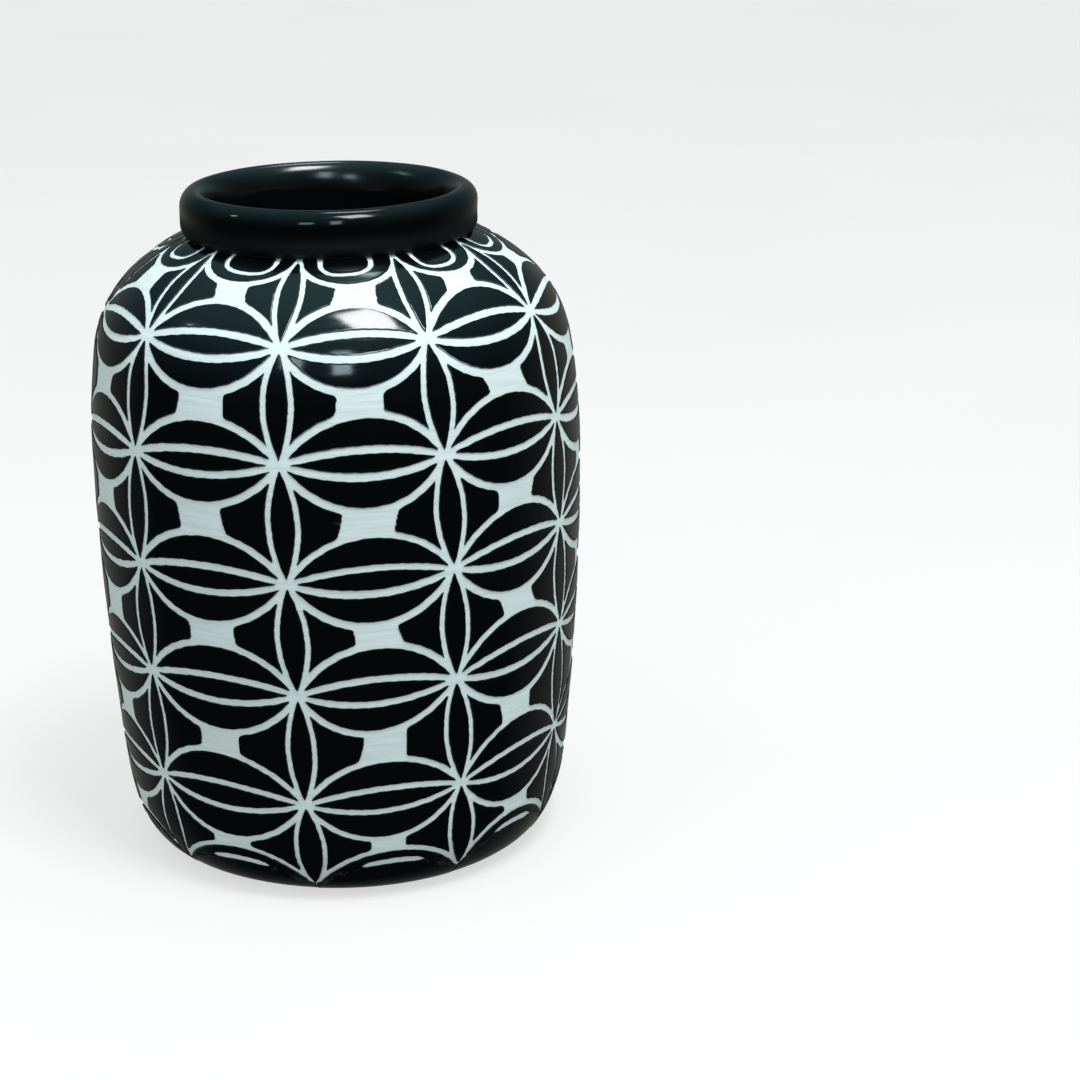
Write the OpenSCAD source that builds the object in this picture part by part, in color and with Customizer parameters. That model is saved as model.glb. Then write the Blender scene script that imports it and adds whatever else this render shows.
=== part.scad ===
// Carved black clay jar: a hollow wheel-thrown pot with a rolled collar, a white slip
// ground and a burnished black coat that is cut through into separate star-pattern panels.
// The jar stands on the XY plane with its axis on Z; the front is towards -Y.

/* [Jar] */
// Height of the whole jar
jar_h = 190; // [150:1:260]
// Greatest radius of the belly
belly_r = 69.6; // [60:0.1:80]
// Height of the widest place
belly_z = 116; // [105:1:125]
// Radius of the flat foot
foot_r = 50; // [45:0.5:54]
// Height at which the foot curve runs into the belly
foot_z = 24; // [20:1:28]
// Radius of the belly where the foot curve ends
foot_top_r = 64.8; // [60:0.1:66]
// Height at which the shoulder starts to turn in
shoulder_z = 148; // [140:1:152]
// Radius where the shoulder starts to turn in
shoulder_r = 67; // [64:0.1:68]
// Thickness of the clay wall
wall_t = 6; // [4:0.5:8]

/* [Collar] */
// Radius of the joint between shoulder and collar
neck_r = 39.5; // [36:0.5:42]
// Height of that joint
neck_z = 177.5; // [174:0.5:179]
// Greatest outer radius of the rolled collar
collar_r = 41.5; // [40:0.5:43]
// Radius of the lip's crest
crest_r = 37.5; // [37:0.1:39]
// Radius of the mouth
mouth_r = 33; // [30:0.5:35]
// Height over which the lip curves down into the mouth
lip_drop = 9; // [6:0.5:12]
// Height over which the collar's outer face rounds over to the crest
lip_round = 4.5; // [3:0.5:6]

/* [Coats] */
// Thickness of the white slip
slip_t = 0.5; // [0.3:0.1:1]
// Thickness of the black coat
coat_t = 0.6; // [0.4:0.1:1]

/* [Star pattern] */
// Star columns round the jar
columns = 10; // [8:1:12]
// Distance between star rows, measured down the surface
row_pitch = 31.8; // [30:0.1:32]
// Distance from the collar to the first star row, down the surface
first_row = 30; // [28:0.5:31]
// Angle by which the first column stands left of the front
column_start = -7.5; // [-18:0.5:18]
// Angle by which the columns spread apart round the front foot
column_fan = 4; // [0:0.5:6]
// Rise of the outer arcs as a share of the row pitch
outer_rise = 0.4; // [0.34:0.01:0.42]
// Rise of the inner arcs as a share of the row pitch
inner_rise = 0.115; // [0.09:0.005:0.14]
// Half width of an upright leaf as a share of the column pitch
leaf_share = 0.1; // [0.08:0.005:0.12]
// Width of a carved line
line_w = 2.2; // [1.6:0.1:2.6]
// Width of the bare white bridge between two panels
bridge_w = 12; // [10:0.5:16]
// Half width of a cup at the collar or foot as a share of the column pitch
cup_share = 0.27; // [0.22:0.01:0.3]
// Depth of such a cup as a share of the row pitch
cup_depth_share = 0.17; // [0.12:0.01:0.19]

/* [Hidden] */

slip_depth = coat_t;
clay_depth = coat_t + slip_t;
curve_steps = 8;
belly_steps = 4;
station_gap = 0.2;
leaf_line_w = line_w * 0.75;
bands = 6;
clay_color = "#2c2a29";
slip_color = "#cfe3df";
coat_color = "#0b0e10";

// Point at t on a cubic curve with four control points
function cubic(p, t) =
    pow(1 - t, 3) * p[0] + 3 * pow(1 - t, 2) * t * p[1] + 3 * (1 - t) * t * t * p[2]
    + pow(t, 3) * p[3];
// Radius of the arc that bulges by rise over half a chord
function arc_radius(half_chord, rise) = (half_chord * half_chord + rise * rise) / (2 * rise);

// Outline of the pot's skin from the foot up to the neck, as [radius, height]
low_arc_r = arc_radius(belly_z - foot_z, belly_r - foot_top_r);
high_arc_r = arc_radius(shoulder_z - belly_z, belly_r - shoulder_r);
low_lean = asin((belly_z - foot_z) / low_arc_r);
high_lean = asin((shoulder_z - belly_z) / high_arc_r);
neck_slope = 22;
foot_pull = 0.6;
shoulder_pull = 14.5;
foot_curve = [
    [foot_r, 0], [foot_r + foot_pull * (foot_top_r - foot_r), 0],
    [foot_top_r, foot_z] - foot_pull * foot_z * [sin(low_lean), cos(low_lean)],
    [foot_top_r, foot_z]];
shoulder_curve = [
    [shoulder_r, shoulder_z],
    [shoulder_r, shoulder_z] + shoulder_pull * [-sin(high_lean), cos(high_lean)],
    [neck_r, neck_z] + shoulder_pull * [cos(neck_slope), -sin(neck_slope)],
    [neck_r, neck_z]];
skin = concat(
    [for (i = [0:curve_steps]) cubic(foot_curve, i / curve_steps)],
    [for (i = [1:curve_steps]) let (z = foot_z + (belly_z - foot_z) * i / curve_steps)
        [belly_r - low_arc_r + sqrt(pow(low_arc_r, 2) - pow(z - belly_z, 2)), z]],
    [for (i = [1:belly_steps]) let (z = belly_z + (shoulder_z - belly_z) * i / belly_steps)
        [belly_r - high_arc_r + sqrt(pow(high_arc_r, 2) - pow(z - belly_z, 2)), z]],
    [for (i = [1:curve_steps + 2]) cubic(shoulder_curve, i / (curve_steps + 2))]);

// The same outline from the neck down, with the distance run at each point
last = len(skin) - 1;
down = [for (i = [0:last]) skin[last - i]];
run = [for (i = 0, s = 0; i <= last;
            s = i < last ? s + norm(down[i + 1] - down[i]) : s, i = i + 1) s];
down_normal = [for (i = [0:last]) let (
        d = down[min(i + 1, last)] - down[max(i - 1, 0)], n = norm(d))
    [-d[1] / n, d[0] / n]];
// Tables of radius and of height against the distance run, for a surface below the skin
function radius_table(depth) = [for (i = [0:last]) [run[i], (down[i] - depth * down_normal[i])[0]]];
function height_table(depth) = [for (i = [0:last]) [run[i], (down[i] - depth * down_normal[i])[1]]];
skin_radius = radius_table(0);
skin_height = height_table(0);
slip_radius = radius_table(slip_depth);
slip_height = height_table(slip_depth);
clay_radius = radius_table(clay_depth);
clay_height = height_table(clay_depth);
cave_radius = radius_table(clay_depth + wall_t);
cave_height = height_table(clay_depth + wall_t);
room_radius = radius_table(clay_depth + wall_t + coat_t);
room_height = height_table(clay_depth + wall_t + coat_t);
function skin_at(s) = [lookup(s, skin_radius), lookup(s, skin_height)];
function slip_at(s) = [lookup(s, slip_radius), lookup(s, slip_height)];
function clay_at(s) = [lookup(s, clay_radius), lookup(s, clay_height)];
function cave_at(s) = [lookup(s, cave_radius), lookup(s, cave_height)];
function room_at(s) = [lookup(s, room_radius), lookup(s, room_height)];
// Distances at which a stretch of the outline has its points
function stations(a, b) = concat(
    [a], [for (s = run) if (s > a + station_gap && s < b - station_gap) s], [b]);
function turned(list) = [for (i = [len(list) - 1:-1:0]) list[i]];
// Distance run at which a table of heights passes z
function run_at(z, table) = lookup(-z, [for (e = table) [-e[1], e[0]]]);

total = run[last];
floor_z = cave_at(total)[1];

// Row and column places of the star pattern
function row_run(k) = k <= 0 ? 0 : first_row + (k - 1) * row_pitch;
function column_angle(c, k) = let (a = column_start + 360 / columns * c)
    a + column_fan * k / bands * sin(a);
low_joint_z = skin_at(row_run(4))[1];
high_joint_z = skin_at(row_run(2))[1];
slip_joint_run = row_run(3);

// Collar: the undercut, the upright face, the round up to the crest, the curve into the mouth
bulge_z = neck_z + 3;
face_z = jar_h - lip_round;
throat_z = neck_z - 5;
mouth_z = jar_h - lip_drop;
bulge_turn = 22.5;
function quarter(centre, half_w, half_h, from) = [for (i = [0:curve_steps]) let (
        a = from + 90 * i / curve_steps)
    centre + [half_w * cos(a), half_h * sin(a)]];
function bulge(inset) = [for (a = [-90:bulge_turn:0])
    [neck_r + (collar_r - neck_r) * cos(a) - inset, bulge_z + (bulge_z - neck_z) * sin(a)]];
function lip_outside(inset) = quarter(
    [crest_r, face_z], collar_r - crest_r - inset, lip_round - inset, 0);
function lip_inside(inset) = quarter(
    [crest_r, mouth_z], crest_r - mouth_r - inset, lip_drop - inset, 90);

// Ring of clay between two heights
module clay_ring(low_z, high_z) {
    color(clay_color) rotate_extrude() polygon(concat(
        [for (s = stations(run_at(high_z, clay_height), run_at(low_z, clay_height))) clay_at(s)],
        turned([for (s = stations(run_at(high_z, cave_height), run_at(low_z, cave_height)))
            cave_at(s)])));
}
module base_disc() {
    color(clay_color) rotate_extrude() polygon(concat(
        [[0, 0], [foot_r, 0]],
        turned([for (s = stations(run_at(floor_z, clay_height), total)) clay_at(s)]),
        [[0, floor_z]]));
}
module lower_wall() { clay_ring(floor_z, low_joint_z); }
module middle_wall() { clay_ring(low_joint_z, high_joint_z); }
module shoulder_wall() {
    color(clay_color) rotate_extrude() polygon(concat(
        [for (s = stations(0, run_at(high_joint_z, clay_height))) clay_at(s)],
        turned([for (s = stations(0, run_at(high_joint_z, cave_height))) cave_at(s)])));
}
module rolled_collar() {
    color(clay_color) rotate_extrude() polygon(concat(
        [clay_at(0), skin_at(0)], bulge(coat_t), lip_outside(coat_t), lip_inside(coat_t),
        [[mouth_r + coat_t, throat_z], cave_at(0)]));
}
module collar_glaze() {
    color(coat_color) rotate_extrude() polygon(concat(
        bulge(0), lip_outside(0), turned(lip_outside(coat_t)), turned(bulge(coat_t))));
}
module inner_glaze() {
    color(coat_color) rotate_extrude() polygon(concat(
        lip_inside(0), [[mouth_r, throat_z]],
        [for (s = stations(0, total)) room_at(s)], [[0, floor_z + coat_t], [0, floor_z]],
        turned([for (s = stations(0, total)) cave_at(s)]),
        [[mouth_r + coat_t, throat_z]], turned(lip_inside(coat_t))));
}

// Thin ring between two depths of coat, over one stretch of the outline
module white_slip(a, b) {
    color(slip_color) rotate_extrude() polygon(concat(
        [for (s = stations(a, b)) slip_at(s)],
        turned([for (s = stations(a, b)) clay_at(s)])));
}
module coat_ring(a, b) {
    rotate_extrude() polygon(concat(
        [for (s = stations(a, b)) skin_at(s)],
        turned([for (s = stations(a, b)) slip_at(s)])));
}

// Star pattern on a flat cell: x runs from one star column to the next, y runs down from
// the upper star row. The arcs are true circle arcs through the stars.
cell_w = 2 * PI * belly_r / columns;
half_w = cell_w / 2;
half_h = row_pitch / 2;
outer_h = outer_rise * row_pitch;
inner_h = inner_rise * row_pitch;
leaf_h = leaf_share * cell_w;
outer_arc = arc_radius(half_w, outer_h);
inner_arc = arc_radius(half_w, inner_h);
leaf_arc = arc_radius(half_h, leaf_h);
cut = line_w / 2;
leaf_cut = leaf_line_w / 2;
cup_half_w = cup_share * cell_w;
cup_drop = cup_depth_share * row_pitch;
bridge_swell = 1;
corner_steps = 5;
leaf_side_steps = 4;
panel_steps = 8;
sweep = [for (i = [0:panel_steps]) 2 * i / panel_steps - 1];

// Height over the chord of a circle whose centre is c below the chord
function bow(r, c, x) = sqrt(max(0, r * r - x * x)) - c;
// Half width at which two such bows meet
function bows_meet(r1, c1, r2, c2) = let (
        y = (r1 * r1 - r2 * r2 - c1 * c1 + c2 * c2) / (2 * (c1 - c2)))
    sqrt(r1 * r1 - pow(y + c1, 2));
// The lower of the two points where two circles meet, the second one left of the first
function circles_meet(p, rp, q, rq) = let (
        d = norm(q - p), a = (rp * rp - rq * rq + d * d) / (2 * d), h = sqrt(rp * rp - a * a),
        e = (q - p) / d)
    p + a * e + h * [e[1], -e[0]];

lens_half = sqrt(pow(inner_arc - cut, 2) - pow(inner_arc - inner_h, 2));
lens = concat(
    [for (t = sweep) [half_w + lens_half * t,
        -bow(inner_arc - cut, inner_arc - inner_h, lens_half * t)]],
    [for (t = sweep) if (abs(t) < 1) [half_w - lens_half * t,
        bow(inner_arc - cut, inner_arc - inner_h, lens_half * t)]]);
lobe_half = bows_meet(inner_arc + cut, inner_arc - inner_h, outer_arc - cut, outer_arc - outer_h);
lower_lobe = concat(
    [for (t = sweep) [half_w + lobe_half * t,
        bow(inner_arc + cut, inner_arc - inner_h, lobe_half * t)]],
    [for (t = sweep) if (abs(t) < 1) [half_w - lobe_half * t,
        bow(outer_arc - cut, outer_arc - outer_h, lobe_half * t)]]);
upper_lobe = [for (p = lower_lobe) [p[0], -p[1]]];
leaf_half = sqrt(pow(leaf_arc - leaf_cut, 2) - pow(leaf_arc - leaf_h, 2));
leaf = concat(
    [for (t = sweep) [bow(leaf_arc - leaf_cut, leaf_arc - leaf_h, leaf_half * t),
        half_h + leaf_half * t]],
    [for (t = sweep) if (abs(t) < 1)
        [-bow(leaf_arc - leaf_cut, leaf_arc - leaf_h, leaf_half * t), half_h - leaf_half * t]]);
// Corner panel between a leaf, the two outer arcs and the white bridge
corner_tip = circles_meet([half_w, outer_h - outer_arc], outer_arc + cut,
                          [leaf_h - leaf_arc, half_h], leaf_arc + leaf_cut);
bridge_x = half_w - bridge_w / 2;
corner_arc = [for (i = [0:corner_steps]) let (
        x = corner_tip[0] + (bridge_x - corner_tip[0]) * i / corner_steps)
    [x, bow(outer_arc + cut, outer_arc - outer_h, x - half_w)]];
corner = concat(
    corner_arc,
    [[bridge_x + bridge_swell, half_h]],
    turned([for (p = corner_arc) [p[0], row_pitch - p[1]]]),
    [for (i = [leaf_side_steps - 1:-1:1]) let (
            y = corner_tip[1] + (row_pitch - 2 * corner_tip[1]) * i / leaf_side_steps)
        [bow(leaf_arc + leaf_cut, leaf_arc - leaf_h, y - half_h), y]]);
mirrored_corner = [for (p = corner) [cell_w - p[0], p[1]]];
// Half stars at the collar and the foot: a scallop with a small cup inside it
rim_gap = 0.6;
scallop_half = sqrt(pow(outer_arc - cut, 2) - pow(outer_arc - outer_h + rim_gap, 2));
cup_edge = [for (i = [curve_steps:-1:0]) let (a = 180 * i / curve_steps) [cos(a), sin(a)]];
scallop = concat(
    [for (t = sweep) [half_w - scallop_half * t,
        bow(outer_arc - cut, outer_arc - outer_h, scallop_half * t)]],
    [for (p = cup_edge) [half_w + (cup_half_w + line_w) * p[0],
        rim_gap + (cup_drop + line_w) * p[1]]]);
cup = [for (p = cup_edge) [half_w + cup_half_w * p[0], rim_gap + cup_drop * p[1]]];

// Angle and distance run of a flat cell point, for the cell right of column c below row k
rim_clear = 0.4;
function spot(p, c, k) = let (
        s = row_run(k) + p[1] * (k == 0 && p[1] > 0 ? first_row / row_pitch : 1),
        q = k + p[1] / row_pitch,
        a = column_angle(c, q), b = column_angle(c + 1, q))
    [a + (b - a) * p[0] / cell_w, min(max(s, rim_clear), total - rim_clear)];
function middle(list, i) = (max([for (p = list) p[i]]) + min([for (p = list) p[i]])) / 2;

// One panel: the coat ring cut to an outline, square to the skin at the panel's middle
panel_reach = 9;
ring_margin = 3;
module panel(outline, c, k) {
    spots = [for (p = outline) spot(p, c, k)];
    mid_angle = middle(spots, 0);
    mid_run = middle(spots, 1);
    mid = skin_at(mid_run);
    rise = skin_at(mid_run - 1) - skin_at(mid_run + 1);
    lean = atan2(-rise[0], rise[1]);
    flat = [for (p = spots) let (w = skin_at(p[1]), a = p[0] - mid_angle, y = w[0] * cos(a))
        [w[0] * sin(a), (mid[0] - y) * sin(lean) + (w[1] - mid[1]) * cos(lean)]];
    top = min([for (p = spots) p[1]]);
    bottom = max([for (p = spots) p[1]]);
    intersection() {
        coat_ring(max(0, top - ring_margin), min(total, bottom + ring_margin));
        rotate([0, 0, mid_angle]) translate([0, -mid[0], mid[1]]) rotate([90 - lean, 0, 0])
            linear_extrude(2 * panel_reach, center = true) polygon(flat);
    }
}
module panel_row(outline, k) {
    color(coat_color) for (c = [0:columns - 1]) panel(outline, c, k);
}
module lens_panels(k) { panel_row(lens, k); }
module upper_lobe_panels(k) { panel_row(upper_lobe, k); }
module lower_lobe_panels(k) { panel_row(lower_lobe, k); }
module leaf_panels(band) { panel_row(leaf, band - 1); }
module left_corner_panels(band) { panel_row(corner, band - 1); }
module right_corner_panels(band) { panel_row(mirrored_corner, band - 1); }
module shoulder_scallops() { panel_row(scallop, 0); }
module shoulder_cups() { panel_row(cup, 0); }
module foot_scallops() { panel_row([for (p = scallop) [p[0], -p[1]]], bands); }
module foot_cups() { panel_row([for (p = cup) [p[0], -p[1]]], bands); }

base_disc();
lower_wall();
middle_wall();
shoulder_wall();
rolled_collar();
inner_glaze();
white_slip(slip_joint_run, total);  // white_slip_lower
white_slip(0, slip_joint_run);  // white_slip_upper
collar_glaze();
shoulder_scallops();
shoulder_cups();
foot_scallops();
foot_cups();
for (k = [1:bands - 1]) {
    lens_panels(k);
    upper_lobe_panels(k);
    lower_lobe_panels(k);
}
for (band = [1:bands]) {
    leaf_panels(band);
    left_corner_panels(band);
    right_corner_panels(band);
}
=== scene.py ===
"""Carved black clay jar: a white slip ground under a glossy black coat that is cut through
into hand-carved star-pattern panels, with a rolled collar, on a pale studio floor."""
import math

import bpy
import numpy as np
from mathutils import Matrix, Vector
from mathutils.geometry import delaunay_2d_cdt


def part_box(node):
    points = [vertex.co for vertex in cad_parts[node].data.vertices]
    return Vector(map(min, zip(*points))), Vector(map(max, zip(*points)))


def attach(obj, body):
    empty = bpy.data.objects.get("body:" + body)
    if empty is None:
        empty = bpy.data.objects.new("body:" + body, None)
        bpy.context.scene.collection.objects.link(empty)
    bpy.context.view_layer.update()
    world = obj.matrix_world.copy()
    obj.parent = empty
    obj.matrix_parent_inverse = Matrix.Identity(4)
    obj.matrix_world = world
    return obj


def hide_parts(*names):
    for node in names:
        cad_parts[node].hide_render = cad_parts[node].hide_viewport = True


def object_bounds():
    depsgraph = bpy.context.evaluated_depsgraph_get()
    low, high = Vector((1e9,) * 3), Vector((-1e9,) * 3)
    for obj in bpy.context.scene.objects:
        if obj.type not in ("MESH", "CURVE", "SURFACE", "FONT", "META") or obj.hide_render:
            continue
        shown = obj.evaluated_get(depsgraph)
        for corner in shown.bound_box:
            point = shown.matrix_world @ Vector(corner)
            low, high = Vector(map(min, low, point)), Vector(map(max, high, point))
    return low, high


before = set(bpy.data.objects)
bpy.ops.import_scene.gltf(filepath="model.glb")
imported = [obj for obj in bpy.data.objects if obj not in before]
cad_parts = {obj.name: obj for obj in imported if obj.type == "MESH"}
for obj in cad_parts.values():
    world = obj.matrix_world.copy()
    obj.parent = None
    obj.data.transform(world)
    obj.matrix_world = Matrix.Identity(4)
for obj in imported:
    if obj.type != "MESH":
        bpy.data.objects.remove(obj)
cad_low, cad_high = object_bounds()
MM = 0.001

# ---------------------------------------------------------------- shape of the jar, in mm
JAR_H = cad_high.z / MM
BELLY_R = (cad_high.x - cad_low.x) / 2 / MM
COLLAR_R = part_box("collar_glaze")[1].x / MM
NECK_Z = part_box("collar_glaze")[0].z / MM
BELLY_Z = 116.0
FOOT_R, FOOT_Z, FOOT_TOP_R = 50.0, 24.0, 64.8
SHOULDER_Z, SHOULDER_R = 148.0, 67.0
NECK_R, MOUTH_R, CREST_R = 39.5, 33.0, 37.5
NECK_SLOPE = math.radians(22)
FOOT_PULL, SHOULDER_PULL = 0.6, 14.5
COAT_T, SLIP_T, WALL_T = 0.6, 0.5, 6.0
LIP_DROP, LIP_ROUND = 9.0, 4.5
BULGE_Z = NECK_Z + 3.0
THROAT_Z = NECK_Z - 5.0

# ---------------------------------------------------------------- star pattern
COLUMNS = 10
ROWS = 6
ROW_PITCH, FIRST_ROW = 31.8, 30.0
COLUMN_START, COLUMN_FAN = -7.5, 4.0
# How the hand let the rows climb to the right, drop to the left, and sag at the front
ROW_CLIMB, ROW_DROP = 6.0, 1.9
ROW_SAG = [0, 0, 0, -0.3, -1.2, -2.6, 1.0]
SAG_ANGLE, SAG_REACH = 10.0, 38.0
# How the columns wander to the right from row to row, in degrees a row
TWIST, TWIST_START, TWIST_ANGLE, TWIST_REACH = 1.0, 2.6, 28.0, 50.0
OUTER_RISE, INNER_RISE, LEAF_SHARE = 0.402, 0.113, 0.094
COLLAR_ARC_SHARE = 0.91
ARC_WIDTHS = [2.0, 2.2, 2.2, 2.1, 1.95, 1.8, 1.9]
LEAF_WIDTHS = [1.45, 1.6, 1.55, 1.5, 1.4, 1.3]
BRIDGE_WIDTHS = [9.3, 12.3, 12.3, 11.7, 11.2, 9.0]
STAR_TAPER, TAPER_RUN = 0.68, 8.0
BRIDGE_FILLET = 1.3
# How far each star strays, and how wide of its place the column left of the front was started
STAR_ERROR, WIDE_COLUMN = 0.3, 2.6
STAR_MARGIN, FOOT_MARGIN = 1.5, 0.3

# ---------------------------------------------------------------- carved panels
STEP = 0.34
EDGE_ROUND, EDGE_DROP, EDGE_TILT = 0.4, 0.16, 42.0
# Outlines drawn at a distance inside the edge, each with the spacing of its points
RINGS = ((0.0, 0.62), (EDGE_ROUND / 3, 0.8), (EDGE_ROUND, 1.0))
SMALLEST_ISLAND = 0.8
FACE_SPACING, FACE_MARGIN = 2.3, 0.7
PANEL_FOOTING = 0.1
COLLAR_OVERLAP = 0.2
GROUND_DEPTH = 0.36
FOOT_GROUND_SINK, FOOT_GROUND_RUN, FOOT_GROUND_SLOPE = 0.22, 24.0, 8.0
SLIP_COLUMNS, SLIP_SPACING, SLIP_BACK_SHARE = 480, 0.62, 6

rng = np.random.default_rng(7)


# ---------------------------------------------------------------- skin of the jar
def cubic(points, t):
    p = np.asarray(points, float)
    t = np.asarray(t, float)[:, None]
    u = 1 - t
    return u**3 * p[0] + 3 * u * u * t * p[1] + 3 * u * t * t * p[2] + t**3 * p[3]


def arc_radius(half_chord, rise):
    return (half_chord**2 + rise**2) / (2 * rise)


def skin_outline():
    """The skin from the neck down to the foot, as rows of radius and height."""
    low_r = arc_radius(BELLY_Z - FOOT_Z, BELLY_R - FOOT_TOP_R)
    high_r = arc_radius(SHOULDER_Z - BELLY_Z, BELLY_R - SHOULDER_R)
    low_lean = math.asin((BELLY_Z - FOOT_Z) / low_r)
    high_lean = math.asin((SHOULDER_Z - BELLY_Z) / high_r)
    foot_end = np.array([FOOT_TOP_R, FOOT_Z])
    foot = cubic([
        (FOOT_R, 0), (FOOT_R + FOOT_PULL * (FOOT_TOP_R - FOOT_R), 0),
        foot_end - FOOT_PULL * FOOT_Z * np.array([math.sin(low_lean), math.cos(low_lean)]),
        foot_end], np.linspace(0, 1, 60))
    z = np.linspace(FOOT_Z, BELLY_Z, 90)[1:]
    low = np.stack([BELLY_R - low_r + np.sqrt(low_r**2 - (z - BELLY_Z)**2), z], 1)
    z = np.linspace(BELLY_Z, SHOULDER_Z, 40)[1:]
    high = np.stack([BELLY_R - high_r + np.sqrt(high_r**2 - (z - BELLY_Z)**2), z], 1)
    turn = np.array([SHOULDER_R, SHOULDER_Z])
    neck = np.array([NECK_R, NECK_Z])
    shoulder = cubic([
        turn, turn + SHOULDER_PULL * np.array([-math.sin(high_lean), math.cos(high_lean)]),
        neck + SHOULDER_PULL * np.array([math.cos(NECK_SLOPE), -math.sin(NECK_SLOPE)]),
        neck], np.linspace(0, 1, 80))[1:]
    return np.concatenate([foot, low, high, shoulder])[::-1]


SKIN = skin_outline()
RUN = np.concatenate([[0], np.cumsum(np.hypot(*np.diff(SKIN, axis=0).T))])
TOTAL = RUN[-1]
WAY = np.gradient(SKIN, RUN, axis=0)
NORMAL = np.stack([-WAY[:, 1], WAY[:, 0]], 1) / np.hypot(*WAY.T)[:, None]


def radius_at(run):
    return np.interp(run, RUN, SKIN[:, 0])


def wobble(angle, z):
    """How far the hand-made wall stands out of true, in mm."""
    a = np.radians(angle)
    return (0.22 * np.sin(2 * a + 0.8) + 0.14 * np.sin(3 * a + z / 34.0)
            + 0.05 * np.sin(z / 3.7 + np.sin(a)))


def on_skin(angle, run, depth):
    """Points in mm at an angle from the front, a distance down the skin and a depth below it."""
    run = np.asarray(run, float)
    nr, nz = np.interp(run, RUN, NORMAL[:, 0]), np.interp(run, RUN, NORMAL[:, 1])
    z = np.interp(run, RUN, SKIN[:, 1]) - depth * nz
    below_collar = np.clip(run / 12, 0, 1)
    r = radius_at(run) - depth * nr + wobble(angle, z) * below_collar
    a = np.radians(angle)
    return np.stack([r * np.sin(a), -r * np.cos(a), z], -1)


def skin_axes(angle, run):
    """Unit vectors outward, sideways (rising angle) and down the skin."""
    a = np.radians(angle)
    nr, nz = np.interp(run, RUN, NORMAL[:, 0]), np.interp(run, RUN, NORMAL[:, 1])
    out = np.stack([nr * np.sin(a), -nr * np.cos(a), nz], -1)
    out /= np.linalg.norm(out, axis=-1, keepdims=True)
    side = np.stack([np.cos(a), np.sin(a), np.zeros_like(a)], -1)
    return out, side, np.cross(side, out) * -1


# ---------------------------------------------------------------- meshes
def new_object(name, verts_mm, faces, material, normals=None, smooth_angle=None):
    """A smooth-shaded mesh with its own corner normals, or sharp beyond an angle."""
    mesh = bpy.data.meshes.new(name)
    mesh.from_pydata((np.asarray(verts_mm) * MM).tolist(), [], faces)
    mesh.polygons.foreach_set("use_smooth", [True] * len(mesh.polygons))
    if smooth_angle is not None:
        mesh.set_sharp_from_angle(angle=math.radians(smooth_angle))
    if normals is not None:
        mesh.normals_split_custom_set(normals.tolist())
    mesh.materials.append(material)
    mesh.validate()
    obj = bpy.data.objects.new(name, mesh)
    bpy.context.scene.collection.objects.link(obj)
    return obj


def place(obj, slot, *nodes):
    """Parents a finished piece to the root empty: it rides on the jar and stands for CAD nodes,
    which are hidden.
    """
    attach(obj, "root")
    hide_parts(*nodes)


def ring_faces(rows, columns):
    """Quads of a grid of points that closes round its columns and round its rows."""
    i = np.arange(rows)[:, None] * columns
    j = np.arange(columns)[None, :]
    k = (j + 1) % columns
    down = (i + columns) % (rows * columns)
    return np.stack([i + j, i + k, down + k, down + j], -1).reshape(-1, 4).tolist()


# ---------------------------------------------------------------- materials
def new_material(name):
    material = bpy.data.materials.new(name)
    material.use_nodes = True
    tree = material.node_tree
    return material, tree, tree.nodes["Principled BSDF"]


def stretched(tree, across, along):
    """Object coordinates scaled so that a noise runs round the jar in streaks."""
    coords = tree.nodes.new("ShaderNodeTexCoord")
    mapping = tree.nodes.new("ShaderNodeMapping")
    mapping.inputs["Scale"].default_value = (across, across, along)
    tree.links.new(coords.outputs["Object"], mapping.inputs["Vector"])
    return mapping.outputs["Vector"]


def noise(tree, vector, scale, detail=3.0, roughness=0.5, distortion=0.0):
    node = tree.nodes.new("ShaderNodeTexNoise")
    node.inputs["Scale"].default_value = scale
    node.inputs["Detail"].default_value = detail
    node.inputs["Roughness"].default_value = roughness
    node.inputs["Distortion"].default_value = distortion
    tree.links.new(vector, node.inputs["Vector"])
    return node.outputs["Fac"]


def ramp(tree, value, stops):
    node = tree.nodes.new("ShaderNodeValToRGB")
    elements = node.color_ramp.elements
    while len(elements) < len(stops):
        elements.new(0.5)
    for element, (position, colour) in zip(elements, stops):
        element.position = position
        element.color = (*colour, 1)
    tree.links.new(value, node.inputs["Fac"])
    return node.outputs["Color"]


def spread(tree, value, low, high, to_low, to_high):
    node = tree.nodes.new("ShaderNodeMapRange")
    for name, number in zip(("From Min", "From Max", "To Min", "To Max"),
                            (low, high, to_low, to_high)):
        node.inputs[name].default_value = number
    tree.links.new(value, node.inputs["Value"])
    return node.outputs["Result"]


def mix(tree, factor, a, b, mode="MIX"):
    node = tree.nodes.new("ShaderNodeMix")
    node.data_type = "RGBA"
    node.blend_type = mode
    for value, socket in ((factor, node.inputs["Factor"]), (a, node.inputs["A"]),
                          (b, node.inputs["B"])):
        if isinstance(value, bpy.types.NodeSocket):
            tree.links.new(value, socket)
        else:
            socket.default_value = value if isinstance(value, float) else (*value, 1)
    return node.outputs["Result"]


def bump(tree, shader, layers):
    """Bump layers, each a (height, strength, distance in metres), into the shader's normal."""
    normal = None
    for height, strength, distance in layers:
        node = tree.nodes.new("ShaderNodeBump")
        node.inputs["Strength"].default_value = strength
        node.inputs["Distance"].default_value = distance
        tree.links.new(height, node.inputs["Height"])
        if normal is not None:
            tree.links.new(normal, node.inputs["Normal"])
        normal = node.outputs["Normal"]
    tree.links.new(normal, shader.inputs["Normal"])


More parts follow.
